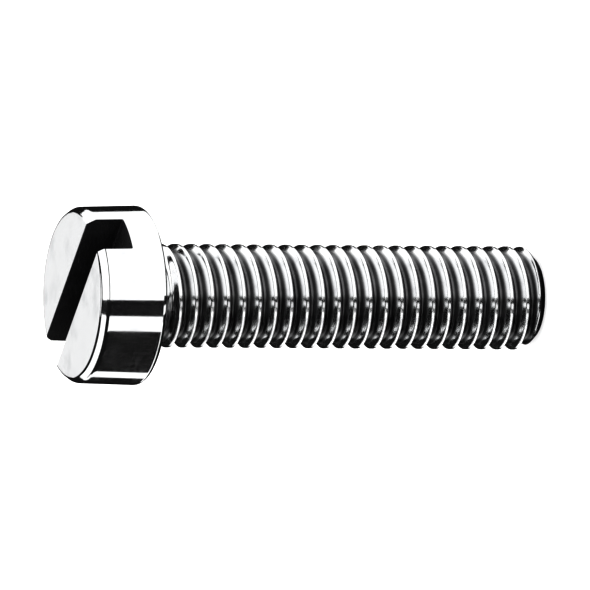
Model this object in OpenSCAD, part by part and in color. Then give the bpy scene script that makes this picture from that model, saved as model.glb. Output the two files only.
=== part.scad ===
// Slotted cheese head screw, M5 x 20, turned, slotted and threaded from one piece of steel.
// It stands on its tip, which is cut flat, with its head up. The origin is the middle of the
// tip, +Z runs up the screw's axis and the slot runs along X.
// All sizes are millimetres and all angles degrees.

/* [Head] */
// Diameter of the head at its bearing face
head_d = 8.5; // [7.5:0.1:10]
// Height of the head
head_h = 3.3; // [2.6:0.1:5]
// Draft of the head's side, which is narrower at the slotted face
head_draft = 1.5; // [0:0.5:5]
// Chamfer round the slotted face, measured across the face
face_chamfer_w = 0.25; // [0.1:0.05:0.5]
// Chamfer round the slotted face, measured down the side
face_chamfer_h = 0.35; // [0.1:0.05:0.5]
// Edge break between the head's side and its bearing face
rim_break = 0.1; // [0.05:0.05:0.2]

/* [Slot] */
// Width of the screwdriver slot
slot_w = 1.9; // [1:0.1:2.4]
// Depth of the slot, from the slotted face to its flat floor
slot_depth = 1.75; // [1:0.05:2]

/* [Shank] */
// Length under the head, from the tip to the bearing face
shank_l = 20; // [8:1:25]
// Length of the plain neck between the end of the thread and the bearing face
neck_l = 0.3; // [0.3:0.1:2]
// Radius of the fillet where the shank meets the head
neck_fillet = 0.2; // [0.1:0.05:0.3]

/* [Thread] */
// Nominal diameter of the thread, which is also the plain neck's
thread_d = 5; // [4.5:0.1:6]
// How far the crests are turned under the nominal diameter, so that they clear a nut
crest_under = 0.08; // [0.04:0.01:0.16]
// Rise of the right-hand thread in one turn
thread_pitch = 0.8; // [0.6:0.05:1]
// Turns over which the groove rises out of the shank below the neck
runout_turns = 0.5; // [0.5:0.25:2]
// How far the tip's flat lies inside the bottom of the groove
tip_inside_root = 0.06; // [0.04:0.01:0.2]

/* [Hidden] */
$fn = 96;

head_r = head_d / 2;
thread_r = thread_d / 2;
overall_l = shank_l + head_h;

// Radius of the head's side just below the chamfer, and of the slotted face
side_top_r = head_r - (head_h - face_chamfer_h) * tan(head_draft);
face_r = side_top_r - face_chamfer_w;

// Section of a metric thread: the flanks stand 60 degrees apart, the crest is flat over an
// eighth of the pitch at the nominal diameter, and the groove is 17/24 of the sharp
// triangle's height deep below it
flank_angle = 30;
crest_w = thread_pitch / 8;
thread_depth = thread_pitch * sqrt(3) / 2 * 17 / 24;
root_r = thread_r - thread_depth;
crest_r = thread_r - crest_under / 2;
tip_r = root_r - tip_inside_root;

// The thread cutter's half width at the nominal diameter and at the bottom of the groove, how
// far its flanks go on past that diameter, and the height of the ridge on its back
cut_crest = (thread_pitch - crest_w) / 2;
cut_root = cut_crest - thread_depth * tan(flank_angle);
cut_over = thread_pitch / 16;
cut_side = cut_crest + cut_over * tan(flank_angle);
cut_back = thread_pitch / 4;

// The cutter's path: steps in a turn, its first and last height, and its number of steps
turn_steps = 24;
cut_from = -thread_pitch;
cut_to = shank_l - neck_l - cut_side;
cut_steps = ceil((cut_to - cut_from) / thread_pitch * turn_steps);
runout_steps = runout_turns * turn_steps;

// The slot's cutter runs past the head's side and out of its face by this much
past = 1;

// Half section of the head: radius across, height up the axis
module head_section() {
    polygon([
        [0, shank_l],
        [head_r - rim_break, shank_l],
        [head_r, shank_l + rim_break],
        [side_top_r, overall_l - face_chamfer_h],
        [face_r, overall_l],
        [0, overall_l],
    ]);
}

// Half section of the shank before it is threaded, with its chamfered tip
module shank_section() {
    polygon([
        [0, 0],
        [tip_r, 0],
        [crest_r, crest_r - tip_r],
        [crest_r, shank_l - neck_l],
        [thread_r, shank_l - neck_l],
        [thread_r, shank_l],
        [0, shank_l],
    ]);
}

// Half section of the fillet in the corner under the head
module fillet_section() {
    difference() {
        translate([thread_r, shank_l - neck_fillet]) square(neck_fillet);
        translate([thread_r + neck_fillet, shank_l - neck_fillet]) circle(neck_fillet);
    }
}

// The blank as it leaves the lathe
module turned_blank() {
    rotate_extrude() {
        head_section();
        shank_section();
        fillet_section();
    }
}

// What the slotting saw takes out of the head
module slot_cut() {
    translate([-head_r - past, -slot_w / 2, overall_l - slot_depth])
        cube([head_d + 2 * past, slot_w, slot_depth + past]);
}

// How far the thread cutter has drawn back from the work at step i
function drawn_back(i) =
    max(0, i - cut_steps + runout_steps) / runout_steps * (thread_depth + cut_over);

// The cutter's section, as [radius, height] pairs about its own middle
function cutter_section(back) = [
    [root_r + back, -cut_root],
    [thread_r + cut_over + back, -cut_side],
    [thread_r + cut_over + cut_back + back, 0],
    [thread_r + cut_over + back, cut_side],
    [root_r + back, cut_root],
];
corners = len(cutter_section(0));

// That section set on the helix at step i
function on_helix(i) =
    let (turn = 360 * i / turn_steps, rise = thread_pitch * i / turn_steps)
    [for (p = cutter_section(drawn_back(i))) [p[0] * cos(turn), p[0] * sin(turn), cut_from + rise + p[1]]];

// The two triangles between corner k and the next one, from step i to the step after it
function skin(i, k) =
    let (a = corners * i + k, b = corners * i + (k + 1) % corners)
    [[a, b, b + corners], [a, b + corners, a + corners]];

// The helical groove between the thread's crests
module thread_cut() {
    polyhedron(
        points = [for (i = [0 : cut_steps]) each on_helix(i)],
        faces = [
            [for (k = [corners - 1 : -1 : 0]) k],
            for (i = [0 : cut_steps - 1], k = [0 : corners - 1]) each skin(i, k),
            [for (k = [0 : corners - 1]) corners * cut_steps + k],
        ]);
}

module screw() {
    color("silver")
        difference() {
            turned_blank();
            slot_cut();
            thread_cut();
        }
}

screw();
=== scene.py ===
"""Dresses the slotted cheese head screw M5 x 20: its cut thread, its turned head, its steel, the studio.

The screw stands on its flat tip at the origin with its head up, as in part.scad, and the slot
runs along X. The camera is turned a quarter round, so that the head lies at the picture's left.
"""
import math

import bmesh
import bpy
from mathutils import Matrix, Vector


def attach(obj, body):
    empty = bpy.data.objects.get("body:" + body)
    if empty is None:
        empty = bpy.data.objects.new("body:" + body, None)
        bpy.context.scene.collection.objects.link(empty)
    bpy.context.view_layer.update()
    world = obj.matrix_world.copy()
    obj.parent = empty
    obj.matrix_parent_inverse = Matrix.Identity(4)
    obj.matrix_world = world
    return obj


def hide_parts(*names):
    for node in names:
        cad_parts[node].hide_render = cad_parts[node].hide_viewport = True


bl_info = {
    "name": "Cheese head screw",
    "version": (1, 0, 0),
    "blender": (4, 5, 0),
    "location": "3D View > Sidebar > Screw",
    "description": "Builds a slotted cheese head screw with a real thread, its steel and a studio",
    "category": "Object",
}

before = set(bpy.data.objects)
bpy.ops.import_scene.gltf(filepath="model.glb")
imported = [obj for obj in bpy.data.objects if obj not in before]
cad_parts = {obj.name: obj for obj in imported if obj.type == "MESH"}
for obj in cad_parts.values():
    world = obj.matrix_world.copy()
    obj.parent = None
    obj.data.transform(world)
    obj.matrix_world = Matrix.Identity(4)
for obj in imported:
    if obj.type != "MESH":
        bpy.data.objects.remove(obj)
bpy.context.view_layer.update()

MM = 0.001
TURN = 2 * math.pi


def length(name, about, millimetres):
    """A size in metres that the sidebar shows as a length."""
    return bpy.props.FloatProperty(
        name=name, description=about, default=millimetres * MM, min=0.0, precision=5, unit="LENGTH"
    )


def tint(name, about, colour):
    """A colour that the sidebar shows as a swatch."""
    return bpy.props.FloatVectorProperty(
        name=name, description=about, default=colour, min=0.0, max=1.0, size=3, subtype="COLOR"
    )


def amount(name, about, value, high=1.0):
    """A plain number from nought to a limit."""
    return bpy.props.FloatProperty(name=name, description=about, default=value, min=0.0, max=high)


class ScrewSizes(bpy.types.PropertyGroup):
    """The screw's sizes, which are those of part.scad, and its small edge breaks."""

    shank_length: length("Shank length", "From the tip to the bearing face", 20)
    thread_diameter: length("Thread diameter", "Nominal diameter, also the plain neck's", 5)
    crest_diameter: length("Crest diameter", "Diameter over the thread's crests", 4.92)
    pitch: length("Pitch", "Rise of the right-hand thread in one turn", 0.8)
    tip_inside_root: length("Tip inside root", "How far the tip's flat lies inside the groove", 0.06)
    neck_length: length("Neck length", "Plain neck between the thread and the bearing face", 0.3)
    neck_fillet: length("Neck fillet", "Radius in the corner under the head", 0.2)
    root_round: length("Root round", "Rounding at the bottom of the thread's groove", 0.09)
    crest_round: length("Crest round", "Rounding on the edges of the thread's crests", 0.028)
    tip_round: length("Tip round", "Rounding between the tip's chamfer and the thread", 0.12)
    head_diameter: length("Head diameter", "Across the head at its bearing face", 8.5)
    head_height: length("Head height", "From the bearing face to the slotted face", 3.3)
    rim_break: length("Rim break", "Edge break between the side and the bearing face", 0.1)
    chamfer_width: length("Chamfer width", "Chamfer round the slotted face, across it", 0.25)
    chamfer_height: length("Chamfer height", "Chamfer round the slotted face, down the side", 0.35)
    edge_ease: length("Edge ease", "How far each turned edge is eased to either side", 0.11)
    slot_width: length("Slot width", "Width of the screwdriver slot", 1.9)
    slot_depth: length("Slot depth", "From the slotted face to the slot's floor", 1.75)
    slot_break: length("Slot break", "Burr-free edge left along the slot", 0.045)
    slot_corner: length("Slot corner", "Radius that the saw leaves along the floor", 0.08)
    head_draft: bpy.props.FloatProperty(
        name="Head draft",
        description="Draft of the head's side",
        default=math.radians(1.5),
        min=0.0,
        unit="ROTATION",
    )
    runout_turns: bpy.props.FloatProperty(
        name="Run-out turns", description="Turns over which the groove rises out below the neck", default=0.5
    )
    columns: bpy.props.IntProperty(
        name="Columns", description="Facets round the screw", default=144, min=24, max=240
    )


class SteelFinish(bpy.types.PropertyGroup):
    """Colours and wear of the screw's steel, and the colour of the painted shade in its groove, neck and
    slot.
    """

    bright: tint("Bright steel", "Turned steel on the head and the crests", (0.86, 0.865, 0.87))
    dull: tint("Dull steel", "Patches where the steel has lost its shine", (0.58, 0.585, 0.60))
    # painted shade: this colour darkens the thread's groove, the neck under the head and the slot
    painted_shade_colour: tint("Groove", "Bottom of the thread's groove, where oil has dried", (0.05, 0.05, 0.052))
    # painted shade: the slot's floor and walls are coloured near black, as the shade in the slot
    slot: tint("Slot", "Sawn floor and walls of the slot", (0.02, 0.02, 0.021))
    side_shine: amount("Side roughness", "Roughness of the head's turned side", 0.07)
    face_shine: amount("Face roughness", "Roughness of the slotted face", 0.2)
    thread_shine: amount("Thread roughness", "Roughness of the thread's flanks", 0.12)


class Studio(bpy.types.PropertyGroup):
    """The floor, the lights and the camera."""

    floor: tint("Floor", "Colour of the pale floor and its curved edge", (0.62, 0.62, 0.62))
    floor_glow: amount("Floor glow", "Light of the floor's own, which softens shadows", 0.4, 2.0)
    sky: amount("Ambient", "Strength of the even light from all round", 0.9, 4.0)
    overhead: amount("Overhead light", "Power of the large light above, in watts", 1.3, 20.0)
    key: amount("Key light", "Power of the light at the picture's top, in watts", 0.5, 20.0)
    lens: amount("Lens", "Focal length in millimetres on a 36 mm sensor", 1200.0, 2000.0)
    scale: amount("Scale", "Pixels that a millimetre takes in the picture", 21.1, 100.0)
    middle: length("Middle", "Height on the screw's axis at the picture's middle", 12.0)
    offset: length("Offset", "How far the axis lies below the picture's middle", 0.07)
    droop: bpy.props.FloatProperty(
        name="Droop",
        description="Lean of the screw's axis in the picture, tip down",
        default=math.radians(0.4),
        unit="ROTATION",
    )
    azimuth: bpy.props.FloatProperty(
        name="Azimuth",
        description="Side that the camera looks from, round from -Y to +X",
        default=math.radians(45),
        unit="ROTATION",
    )
    elevation: bpy.props.FloatProperty(
        name="Elevation",
        description="How far the camera stands above the horizon",
        default=math.radians(21),
        unit="ROTATION",
    )


def soft_min(a, b, blend):
    """The lesser of two lengths, with the corner between them rounded over a blend."""
    near = max(blend - abs(a - b), 0.0) / blend
    return min(a, b) - near * near * blend / 4


def soft_max(a, b, blend):
    """The greater of two lengths, with the corner between them rounded over a blend."""
    return -soft_min(-a, -b, blend)


class ThreadForm:
    """The section of the metric thread that part.scad cuts, with its corners rounded."""

    def __init__(self, sizes):
        """Works out the groove from the pitch, as part.scad does."""
        self.pitch = sizes.pitch
        self.depth = self.pitch * math.sqrt(3) / 2 * 17 / 24
        self.flank = math.tan(math.radians(30))
        self.crest_radius = sizes.crest_diameter / 2
        self.root_radius = sizes.thread_diameter / 2 - self.depth
        self.root_half = self.pitch * 7 / 16 - self.depth * self.flank
        self.root_round = sizes.root_round
        self.crest_round = sizes.crest_round
        self.tip_round = sizes.tip_round
        self.tip_radius = self.root_radius - sizes.tip_inside_root
        over = self.pitch / 16
        cutter_side = self.pitch * 7 / 16 + over * self.flank
        path = sizes.shank_length - sizes.neck_length - cutter_side + self.pitch
        self.groove_end = math.ceil(path / self.pitch * 24) / 24 * self.pitch - self.pitch
        self.lift = self.depth + over
        self.fading = sizes.runout_turns * self.pitch

    def radius(self, from_middle, middle, height):
        """The radius at a distance from the groove's middle, which lies at a height of its own."""
        gone = (middle - self.groove_end + self.fading) / self.fading
        rise = max(gone, 0.0) * self.lift
        left = max(1 - rise / (self.crest_radius - self.root_radius), 0.0)
        side = self.root_radius + (from_middle - self.root_half) / self.flank
        groove = soft_max(self.root_radius, side, self.root_round)
        depth = (self.crest_radius - soft_min(self.crest_radius, groove, self.crest_round)) * left
        return soft_min(self.crest_radius - depth, self.tip_radius + height, self.tip_round)


def row_offsets(pitch):
    """Heights of the grid's rows over one pitch, up from the groove's middle."""
    half = [0.05, 0.09, 0.13, 0.2, 0.28, 0.345, 0.385, 0.4, 0.415, 0.43, 0.445]
    return [share * pitch for share in [0.0] + half + [0.5] + [1 - share for share in reversed(half)]]


def eased(outline, reach, steps=4):
    """A turned outline with each inner corner eased over a short reach to either side."""
    made = [outline[0]]
    for before, corner, after in zip(outline, outline[1:], outline[2:]):
        start = corner.lerp(before, min(0.45, reach / (corner - before).length))
        end = corner.lerp(after, min(0.45, reach / (after - corner).length))
        for step in range(steps + 1):
            share = step / steps
            made.append(start.lerp(corner, share).lerp(corner.lerp(end, share), share))
    made.append(outline[-1])
    return made


def spaced(outline, gap, hold):
    """An outline whose long spans have points close to their ends, and more between them."""
    made = [outline[0]]
    for before, after in zip(outline, outline[1:]):
        span = (after - before).length
        if span > 3 * hold:
            steps = math.ceil(span / gap)
            shares = [hold / span] + [step / steps for step in range(1, steps)] + [1 - hold / span]
            made += [before.lerp(after, share) for share in shares]
        made.append(after)
    return made


def head_outline(sizes):
    """Radius and height along the neck, the fillet, the bearing face, the side and the face."""
    crest = sizes.crest_diameter / 2
    neck = sizes.thread_diameter / 2
    under = sizes.shank_length
    head = sizes.head_diameter / 2
    top = under + sizes.head_height
    side_top = head - (sizes.head_height - sizes.chamfer_height) * math.tan(sizes.head_draft)
    start = under - sizes.neck_length
    points = [Vector((crest, start - 0.01 * MM)), Vector((crest, start)), Vector((neck, start + 0.04 * MM))]
    for step in range(7):
        bend = math.pi / 2 * step / 6
        across = neck + sizes.neck_fillet * (1 - math.cos(bend))
        points.append(Vector((across, under - sizes.neck_fillet * (1 - math.sin(bend)))))
    corners = [
        points.pop(),
        Vector((head - sizes.rim_break, under)),
        Vector((head, under + sizes.rim_break)),
        Vector((side_top, top - sizes.chamfer_height)),
        Vector((side_top - sizes.chamfer_width, top)),
        Vector((side_top - sizes.chamfer_width - 0.3 * MM, top)),
    ]
    return points + spaced(eased(corners, sizes.edge_ease), 0.7 * MM, 0.04 * MM)


def screw_blank(sizes):
    """The threaded and turned screw before its slot is sawn, as a closed mesh."""
    form = ThreadForm(sizes)
    offsets = row_offsets(form.pitch)
    rows = len(offsets)
    columns = sizes.columns
    neck_start = sizes.shank_length - sizes.neck_length - 0.06 * MM
    tip_edge = 0.03 * MM
    join = 0.014 * MM
    work = bmesh.new()
    around = [(math.cos(TURN * c / columns), math.sin(TURN * c / columns)) for c in range(columns)]

    def ring(radius, height):
        """A level ring of vertices."""
        return [work.verts.new((radius * x, radius * y, height)) for x, y in around]

    tip_ring = ring(form.tip_radius + tip_edge, tip_edge)
    neck_ring = ring(form.crest_radius, neck_start)
    grid = {}

    def knot(row, column):
        """The grid's vertex in a row that follows the thread and a column up the screw."""
        if column == columns:
            row, column = row + rows, 0
        if (row, column) not in grid:
            turn, place = divmod(row, rows)
            start = form.pitch * (turn + column / columns)
            height = start + offsets[place]
            if height < tip_edge + join:
                grid[row, column] = tip_ring[column]
            elif height > neck_start - join:
                grid[row, column] = neck_ring[column]
            else:
                above = offsets[place] > form.pitch / 2
                middle = start + (form.pitch if above else 0.0)
                radius = form.radius(abs(height - middle), middle, height)
                x, y = around[column]
                grid[row, column] = work.verts.new((radius * x, radius * y, height))
        return grid[row, column]

    def skin(corners, finish):
        """A face on the corners that differ, if there are three of them."""
        outline = []
        for corner in corners:
            if corner not in outline:
                outline.append(corner)
        if len(outline) > 2:
            face = work.faces.new(outline)
            face.material_index = finish
            face.smooth = True

    last = int((neck_start / form.pitch + 1) * rows)
    for row in range(-rows - 1, last):
        for column in range(columns):
            skin(
                [
                    knot(row, column),
                    knot(row, column + 1),
                    knot(row + 1, column + 1),
                    knot(row + 1, column),
                ],
                1,
            )

    def lathe(lower, upper, finish):
        """A band of faces between two level rings."""
        for c in range(columns):
            n = (c + 1) % columns
            skin([lower[c], lower[n], upper[n], upper[c]], finish)

    below = neck_ring
    for radius, height in head_outline(sizes):
        above = ring(radius, height)
        lathe(below, above, 1 if height < sizes.shank_length else 0)
        below = above
    work.faces.new(below).smooth = True
    edge = ring(form.tip_radius + 0.008 * MM, 0.012 * MM)
    flat = ring(form.tip_radius - 0.03 * MM, 0.0)
    lathe(edge, tip_ring, 1)
    lathe(flat, edge, 1)
    cap = work.faces.new(reversed(flat))
    cap.smooth = True
    cap.material_index = 1
    mesh = bpy.data.meshes.new("screw_blank")
    work.to_mesh(mesh)
    work.free()
    return mesh


def slot_section(sizes, wider):
    """Half of the slotting saw's section, from its floor up, with walls set wider by a margin."""
    half = sizes.slot_width / 2 + wider
    top = sizes.shank_length + sizes.head_height
    floor = top - sizes.slot_depth
    lip = top - sizes.slot_break
    past = 0.5 * MM
    bends = [math.pi / 2 * step / 4 for step in range(5)]
    corner = sizes.slot_corner
    points = [
        Vector((half - corner + corner * math.sin(b), floor + corner - corner * math.cos(b))) for b in bends
    ]
    return points + [Vector((half, lip)), Vector((half + past + sizes.slot_break, top + past))]


def slot_cutter(sizes):
    """The body that the saw takes out, flared where it leaves the head so that no edge is sharp."""
    middle = sizes.shank_length + sizes.head_height - sizes.slot_depth / 2
    drop = middle - sizes.shank_length - sizes.rim_break
    lean = math.tan(sizes.head_draft)
    side = sizes.head_diameter / 2 - drop * lean
    reach = math.sqrt(side * side - (sizes.slot_width / 2) ** 2)
    flare = sizes.slot_break
    past = 0.6 * MM
    stations = [
        (-1, reach + past, flare + past),
        (-1, reach - flare, 0.0),
        (1, reach - flare, 0.0),
        (1, reach + past, flare + past),
    ]
    work = bmesh.new()
    rings = []
    for end, along, wider in stations:
        half = slot_section(sizes, wider)
        outline = half + [Vector((-p.x, p.y)) for p in reversed(half)]
        rings.append([work.verts.new((end * (along + (middle - p.y) * lean), p.x, p.y)) for p in outline])
    for lower, upper in zip(rings, rings[1:]):
        for k in range(len(lower)):
            n = (k + 1) % len(lower)
            work.faces.new((lower[k], lower[n], upper[n], upper[k]))
    work.faces.new(reversed(rings[0]))
    work.faces.new(rings[-1])
    for face in work.faces:
        face.material_index = 2
    bmesh.ops.recalc_face_normals(work, faces=work.faces)
    mesh = bpy.data.meshes.new("slot_cutter")
    work.to_mesh(mesh)
    work.free()
    return mesh


def place(name, mesh):
    """An object for a mesh, in the scene."""
    made = bpy.data.objects.new(name, mesh)
    bpy.context.scene.collection.objects.link(made)
    return made


def settled(piece):
    """Gives a piece the mesh that its modifiers make, and drops the modifiers."""
    graph = bpy.context.evaluated_depsgraph_get()
    mesh = bpy.data.meshes.new_from_object(piece.evaluated_get(graph), depsgraph=graph)
    piece.modifiers.clear()
    piece.data = mesh


def sawn(blank, sizes, finishes):
    """The screw with its slot cut, the slot's faces in the last of its three finishes."""
    piece = place("cheese_head_screw", blank)
    saw = place("saw", slot_cutter(sizes))
    for finish in finishes:
        blank.materials.append(finish)
        saw.data.materials.append(finish)
    cut = piece.modifiers.new("slot", "BOOLEAN")
    cut.operation = "DIFFERENCE"
    cut.solver = "EXACT"
    cut.object = saw
    settled(piece)
    bpy.data.objects.remove(saw)
    work = bmesh.new()
    work.from_mesh(piece.data)
    for face in work.faces:
        face.smooth = True
    for edge in work.edges:
        one, other = edge.link_faces
        at_slot = (one.material_index == 2) != (other.material_index == 2)
        edge.smooth = not at_slot and edge.calc_face_angle() < math.radians(50)
    work.to_mesh(piece.data)
    work.free()
    lay = piece.modifiers.new("shading", "WEIGHTED_NORMAL")
    lay.mode = "FACE_AREA"
    lay.keep_sharp = True
    settled(piece)
    return piece


class Signal:
    """A value on its way through a material: sums on it add Math nodes."""

    def __init__(self, recipe, socket):
        """Keeps the recipe that the socket belongs to."""
        self.recipe = recipe
        self.socket = socket

    def step(self, operation, *others):
        """One Math node on this value and any others."""
        terms = dict(enumerate((self, *others)))
        made = self.recipe.node("ShaderNodeMath", {"operation": operation}, terms)
        return Signal(self.recipe, made.outputs[0])

    def swapped(self, operation, other):
        """One Math node with the other term first."""
        made = self.recipe.node("ShaderNodeMath", {"operation": operation}, {0: other, 1: self})
        return Signal(self.recipe, made.outputs[0])

    def __add__(self, other):
        return self.step("ADD", other)

    def __radd__(self, other):
        return self.swapped("ADD", other)

    def __sub__(self, other):
        return self.step("SUBTRACT", other)

    def __rsub__(self, other):
        return self.swapped("SUBTRACT", other)

    def __mul__(self, other):
        return self.step("MULTIPLY", other)

    def __rmul__(self, other):
        return self.swapped("MULTIPLY", other)

    def __truediv__(self, other):
        return self.step("DIVIDE", other)

    def __pow__(self, other):
        return self.step("POWER", other)

    def sine(self):
        """The sine of this angle in radians."""
        return self.step("SINE")

    def ramp(self, low, high):
        """Nought below one value, one above the other, and smooth between them."""
        sockets = {"Value": self, "From Min": low, "From Max": high}
        made = self.recipe.node("ShaderNodeMapRange", {"interpolation_type": "SMOOTHSTEP"}, sockets)
        return Signal(self.recipe, made.outputs[0])


class Recipe:
    """A material while its nodes are laid out."""

    def __init__(self, name):
        """Starts an empty material, with the place on the screw in millimetres at hand."""
        self.material = bpy.data.materials.new(name)
        self.material.use_nodes = True
        self.tree = self.material.node_tree
        self.tree.nodes.clear()
        coordinates = self.node("ShaderNodeTexCoord").outputs["Object"]
        scaled = self.node("ShaderNodeVectorMath", {"operation": "SCALE"}, {0: coordinates, "Scale": 1 / MM})
        self.place = scaled.outputs[0]
        parts = self.node("ShaderNodeSeparateXYZ", {}, {0: self.place}).outputs
        self.x, self.y, self.z = (Signal(self, part) for part in parts)

    def node(self, kind, settings=None, sockets=None):
        """Adds a node: its settings first, then the values or links of its sockets."""
        made = self.tree.nodes.new(kind)
        for name, value in (settings or {}).items():
            setattr(made, name, value)
        for name, value in (sockets or {}).items():
            if isinstance(value, Signal):
                value = value.socket
            if isinstance(value, bpy.types.NodeSocket):
                self.tree.links.new(value, made.inputs[name])
            else:
                made.inputs[name].default_value = value
        return made

    def stretched(self, x, y, z):
        """The place on the screw, stretched by a factor along each axis."""
        sockets = {0: self.place, 1: (x, y, z)}
        return self.node("ShaderNodeVectorMath", {"operation": "MULTIPLY"}, sockets).outputs[0]

    def joined(self, x, y, z):
        """A place made of three values."""
        return self.node("ShaderNodeCombineXYZ", {}, {0: x, 1: y, 2: z}).outputs[0]

    def noise(self, where, scale, detail=3.0):
        """Cloudy variation from nought to one."""
        sockets = {"Vector": where, "Scale": scale, "Detail": detail}
        return Signal(self, self.node("ShaderNodeTexNoise", {}, sockets).outputs[0])

    def blend(self, share, first, second):
        """A colour between two others."""
        sockets = {0: share}
        for index, colour in ((6, first), (7, second)):
            sockets[index] = colour if isinstance(colour, bpy.types.NodeSocket) else (*colour, 1.0)
        return self.node("ShaderNodeMix", {"data_type": "RGBA"}, sockets).outputs[2]

    def finish(self, colour, roughness, relief, height, metal=1.0, gloss=0.5):
        """Ends the recipe in a metal shader, with a relief of some height in millimetres."""
        bump = self.node("ShaderNodeBump", {}, {"Distance": height * MM, "Height": relief})
        sockets = {
            "Base Color": colour,
            "Metallic": metal,
            "Specular IOR Level": gloss,
            "Roughness": roughness,
            "Normal": bump.outputs[0],
        }
        shader = self.node("ShaderNodeBsdfPrincipled", {}, sockets)
        self.node("ShaderNodeOutputMaterial", {}, {0: shader.outputs[0]})
        return self.material


def turned_steel(finish, sizes):
    """The head: feed marks round its side and rings on its face, small dull patches and scratches."""
    r = Recipe("turned_steel")
    across = (r.x * r.x + r.y * r.y) ** 0.5
    top = (sizes.shank_length + sizes.head_height) / MM
    on_face = r.z.ramp(top - 0.02, top - 0.005)
    wander = r.noise(r.place, 1.1, 2.0)
    rings = (across * (TURN / 0.13) + wander * 2.0).sine() * 0.5 + 0.5
    feed = (r.z * (TURN / 0.11) + wander * 2.0).sine() * 0.5 + 0.5
    angle = r.y.step("ARCTAN2", r.x)
    streaks = r.noise(r.joined(angle * 0.8, r.z * 9.0, across * 9.0), 1.0, 4.0)
    marks = rings * on_face + feed * (1 - on_face)
    patches = r.noise(r.place, 0.7, 4.0).ramp(0.46, 0.78)
    colour = r.blend(patches * 0.55, finish.bright, finish.dull)
    shine = on_face * (finish.face_shine - finish.side_shine) + finish.side_shine
    roughness = shine + patches * 0.03 + (streaks - 0.5) * 0.05
    relief = marks * 0.35 + streaks * 0.65
    return r.finish(colour, roughness, relief, 0.0004)


def thread_steel(finish, sizes):
    """The thread: tool marks along the helix, bright crests, and painted shade that darkens the groove
    towards its root and the neck under the head.
    """
    r = Recipe("thread_steel")
    form = ThreadForm(sizes)
    across = (r.x * r.x + r.y * r.y) ** 0.5
    angle = r.y.step("ARCTAN2", r.x)
    along = r.z - angle * (form.pitch / MM / TURN)
    marks = (along * (TURN * 16 / (form.pitch / MM))).sine() * 0.5 + 0.5
    streaks = r.noise(r.joined(angle * 1.5, along * 0.0, across * 22.0), 1.0, 3.0)
    clouds = r.noise(r.place, 0.9, 4.0)
    # painted shade: the groove darkens towards its root, and the neck under the head is darkened as the
    # head's shadow
    depth = 1 - across.ramp(form.root_radius / MM + 0.12, form.root_radius / MM + 0.29)
    neck = (sizes.shank_length - sizes.neck_length) / MM
    on_neck = r.z.ramp(neck - 0.02, neck)
    painted_shade_mask = depth.step("MAXIMUM", on_neck)
    patches = clouds.ramp(0.48, 0.8)
    steel = r.blend(patches * 0.5, finish.bright, finish.dull)
    # the painted shade colours the groove and the neck, with a little cloudy variation
    colour = r.blend(painted_shade_mask * (clouds * 0.3 + 0.7), steel, finish.painted_shade_colour)
    roughness = patches * 0.08 + painted_shade_mask * 0.2 + (finish.thread_shine + (streaks - 0.5) * 0.14)
    relief = marks * 0.25 + streaks * 0.75
    return r.finish(colour, roughness, relief, 0.0006)


def sawn_slot_painted_shade(finish, sizes):
    """The slot: near black all over with painted shade, with the saw's marks running along it."""
    r = Recipe("sawn_slot_painted_shade")
    lines = r.noise(r.stretched(0.25, 16.0, 16.0), 1.0, 4.0)
    clouds = r.noise(r.place, 1.4, 3.0)
    # painted shade: the slot's colour, with a little of the groove's, darkens the whole slot
    colour = r.blend(clouds.ramp(0.5, 0.8) * 0.2, finish.slot, finish.painted_shade_colour)
    roughness = lines * 0.2 + 0.4
    return r.finish(colour, roughness, lines, 0.02, metal=0.3, gloss=0.2)


class SCREW_OT_dress(bpy.types.Operator):
    """Builds the screw with its thread, head and slot, and gives it its steel"""

    bl_idname = "screw.dress"
    bl_label = "Build the screw"

    def execute(self, context):
        """Makes the one piece, which stands for the CAD node of the same form."""
        sizes = context.scene.screw_sizes
        finish = context.scene.screw_finish
        finishes = turned_steel(finish, sizes), thread_steel(finish, sizes), sawn_slot_painted_shade(finish, sizes)
        piece = sawn(screw_blank(sizes), sizes, finishes)
        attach(piece, "root")
        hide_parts("screw")
        return {"FINISHED"}


def plain(name, colour, glow=0.0):
    """A matt material for the studio, which may glow a little."""
    r = Recipe(name)
    sockets = {
        "Base Color": (*colour, 1.0),
        "Roughness": 0.95,
        "Specular IOR Level": 0.1,
        "Emission Color": (1.0, 1.0, 1.0, 1.0),
        "Emission Strength": glow,
    }
    shader = r.node("ShaderNodeBsdfPrincipled", {}, sockets)
    r.node("ShaderNodeOutputMaterial", {}, {0: shader.outputs[0]})
    return r.material


def studio_floor(studio):
    """A wide floor that curves up into a low wall all round."""
    flat = 1.2
    bend = 0.3
    wall = 0.9
    outline = [(0.0, 0.0), (0.1, 0.0), (flat, 0.0)]
    for step in range(1, 13):
        turn = math.pi / 2 * step / 12
        outline.append((flat + bend * math.sin(turn), bend * (1 - math.cos(turn))))
    outline.append((flat + bend, wall))
    work = bmesh.new()
    columns = 96
    centre = work.verts.new((0.0, 0.0, 0.0))
    rings = []
    for across, height in outline[1:]:
        spots = [TURN * c / columns for c in range(columns)]
        rings.append([work.verts.new((across * math.cos(a), across * math.sin(a), height)) for a in spots])
    for c in range(columns):
        work.faces.new((centre, rings[0][c], rings[0][(c + 1) % columns]))
    for inner, outer in zip(rings, rings[1:]):
        for c in range(columns):
            n = (c + 1) % columns
            work.faces.new((inner[c], outer[c], outer[n], inner[n]))
    for face in work.faces:
        face.smooth = True
    mesh = bpy.data.meshes.new("studio_floor")
    work.to_mesh(mesh)
    work.free()
    floor = place("studio_floor", mesh)
    floor.visible_glossy = False
    floor.data.materials.append(plain("pale_floor", studio.floor, studio.floor_glow))
    return floor


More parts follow.
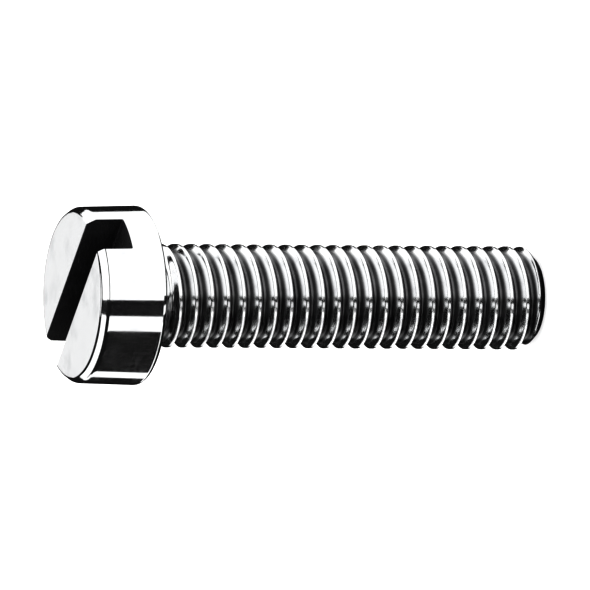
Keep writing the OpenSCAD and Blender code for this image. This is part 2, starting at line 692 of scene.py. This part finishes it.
def card(name, corners, faces, material):
    """A card that only reflections see: it throws no shadow and the camera sees past it."""
    mesh = bpy.data.meshes.new(name)
    mesh.from_pydata(corners, [], faces)
    made = place(name, mesh)
    made.data.materials.append(material)
    made.visible_camera = False
    made.visible_diffuse = False
    made.visible_shadow = False
    made.visible_transmission = False
    made.visible_volume_scatter = False
    return made


def shell(towards, start, end, low, high, radius, climb=0.0):
    """Corners and faces of a card bent round the screw like a piece of a globe, which may climb."""
    rows = math.ceil((high - low) / 4)
    columns = math.ceil((end - start) / 4)
    corners = []
    for up in range(rows + 1):
        for along in range(columns + 1):
            lift = math.radians(low + (high - low) * up / rows + climb * along / columns)
            angle = towards + math.radians(start + (end - start) * along / columns)
            flat = radius * math.cos(lift)
            corners.append((flat * math.cos(angle), flat * math.sin(angle), radius * math.sin(lift)))
    row = columns + 1
    starts = [row * a + b for a in range(rows) for b in range(columns)]
    return corners, [(s, s + 1, s + 1 + row, s + row) for s in starts]


def lamp(name, power, size, spot, aim):
    """A square soft light at a spot, turned to a point, which the steel doesn't mirror."""
    light = bpy.data.lights.new(name, "AREA")
    light.energy = power
    light.size = size
    made = place(name, light)
    made.location = spot
    made.rotation_euler = (Vector(aim) - Vector(spot)).to_track_quat("-Z", "Y").to_euler()
    made.visible_glossy = False
    made.visible_camera = False
    return made


def set_camera(studio):
    """The camera at the drawing's angle, rolled so that the screw's head points left."""
    az, el = studio.azimuth, studio.elevation
    back = Vector((math.sin(az) * math.cos(el), -math.cos(az) * math.cos(el), math.sin(el)))
    right = -(Vector((0, 0, 1)) - back * back.z).normalized()
    up = back.cross(right)
    lean = Matrix.Rotation(studio.droop, 3, back)
    right, up = lean @ right, lean @ up
    data = bpy.data.cameras.new("camera")
    data.lens = studio.lens
    data.sensor_width = 36.0
    picture = 590
    away = picture * studio.lens / data.sensor_width / studio.scale * MM
    aim = Vector((0, 0, studio.middle)) + up * studio.offset
    made = place("camera", data)
    turn = Matrix((right, up, back)).transposed().to_4x4()
    made.matrix_world = Matrix.Translation(aim + back * away) @ turn
    data.clip_start = away / 10
    data.clip_end = 4.0
    bpy.context.scene.camera = made


class SCREW_OT_studio(bpy.types.Operator):
    """Lays the floor, hangs the lights and cards and sets the camera"""

    bl_idname = "screw.studio"
    bl_label = "Set the studio"

    def execute(self, context):
        """Makes everything that isn't part of the screw."""
        studio = context.scene.screw_studio
        studio_floor(studio)
        to_camera = studio.azimuth - math.pi / 2
        sheets = {
            "black": plain("black_sheet", (0.0, 0.0, 0.0), 0.012),
            "white": plain("white_sheet", (0.0, 0.0, 0.0), 0.95),
            "pale": plain("pale_sheet", (0.0, 0.0, 0.0), 0.75),
            "bright": plain("bright_sheet", (0.0, 0.0, 0.0), 1.4),
        }
        for number, (colour, start, end, low, high, *climb) in enumerate(TENT):
            form = shell(to_camera, start, end, low, high, (2500 - 5 * number) * MM, *climb)
            card(f"tent_{number}_{colour}", *form, sheets[colour])
        lamp("overhead", studio.overhead, 0.6, (0, 0, 0.55), (0, 0, 0))
        top = Vector((math.cos(to_camera + math.pi / 2), math.sin(to_camera + math.pi / 2), 0))
        lamp("key", studio.key, 0.3, top * 0.32 + Vector((0, 0, 0.25)), (0, 0, 0.01))
        world = bpy.data.worlds.new("even_light")
        world.use_nodes = True
        even = world.node_tree.nodes["Background"]
        even.inputs["Color"].default_value = (1, 1, 1, 1)
        even.inputs["Strength"].default_value = studio.sky
        context.scene.world = world
        context.scene.view_settings.view_transform = "Standard"
        context.scene.view_settings.look = "High Contrast"
        set_camera(studio)
        return {"FINISHED"}


# The tent that the steel's reflections see, each patch in front of those before it: its colour,
# then angles round from the camera's side towards the picture's top, then heights over the floor,
# and how far the heights climb from the first angle to the second, if they do
TENT = [
    ("white", -180, 180, -90, 90),
    # over the top, for the thread's grooves
    ("black", -180, 180, 58, 90),
    ("pale", -180, 180, 76, 90),
    ("black", 90, 126, 45, 58),
    ("black", -166, -70, 8, 58),
    ("black", -134, -6, -8, 58),
    # level with the eye, for the edge between the chamfer and the side
    ("black", -100, 100, 2, 14),
    # under the screw, for the rim below the head and the chamfer at the tip
    ("black", -180, 180, -90, -48),
    # behind the screw, for its dark outlines
    ("black", 138, 180, -48, -14),
    ("black", -180, -134, -48, -14),
    ("black", 141, 180, -14, 15),
    ("black", -180, -141, -14, 15),
    ("black", 146, 163, 10, 28),
    # the bright crests in the shank's lower half
    ("bright", -134, -35, -25, -17),
    # the two dark bands on the head's side
    ("black", -27, -6, -19.8, -4),
    ("white", -47, -27, -19.8, -4),
    ("black", -118, -47, -19.8, -4),
    ("white", -134, -118, -19.8, -14),
    # the dark line along the shank, and its lower half
    ("black", -13, 0, -48, -19.8),
    ("black", -35, -25, -48, -19.8),
    ("black", -134, -35, -48, -22.8),
    # the bright hooks at the shank's lower edge
    ("white", -150, -134, -23.5, -19.8),
    ("white", -141, -122, -12, 3),
    # the chamfer round the slotted face
    ("white", -47, -6, 39, 53, 4.5),
    ("white", -96, -47, 24, 38, 15),
    ("white", -142, -96, 0, 14, 24),
    ("black", -32, -8, 36, 60),
    # behind the screw, for the slotted face
    ("pale", 163, 180, 15, 42),
    ("pale", -180, -160, 15, 42),
]


class SCREW_PT_panel(bpy.types.Panel):
    """Lists the steps and the sizes"""

    bl_label = "Cheese head screw"
    bl_idname = "SCREW_PT_panel"
    bl_space_type = "VIEW_3D"
    bl_region_type = "UI"
    bl_category = "Screw"

    def draw(self, context):
        """Shows a button for each step and the settings under it."""
        for operator in (SCREW_OT_dress, SCREW_OT_studio):
            self.layout.operator(operator.bl_idname)
        for group in ("screw_sizes", "screw_finish", "screw_studio"):
            settings = getattr(context.scene, group)
            box = self.layout.box()
            for name in settings.__annotations__:
                box.prop(settings, name)


CLASSES = (ScrewSizes, SteelFinish, Studio, SCREW_OT_dress, SCREW_OT_studio, SCREW_PT_panel)


def register():
    """Makes the settings, the operators and the panel known."""
    for kind in CLASSES:
        bpy.utils.register_class(kind)
    bpy.types.Scene.screw_sizes = bpy.props.PointerProperty(type=ScrewSizes)
    bpy.types.Scene.screw_finish = bpy.props.PointerProperty(type=SteelFinish)
    bpy.types.Scene.screw_studio = bpy.props.PointerProperty(type=Studio)


def unregister():
    """Takes them away again."""
    del bpy.types.Scene.screw_studio
    del bpy.types.Scene.screw_finish
    del bpy.types.Scene.screw_sizes
    for kind in reversed(CLASSES):
        bpy.utils.unregister_class(kind)


def main():
    """Builds the screw and the studio."""
    register()
    bpy.ops.screw.dress()
    bpy.ops.screw.studio()


if __name__ == "__main__":
    main()
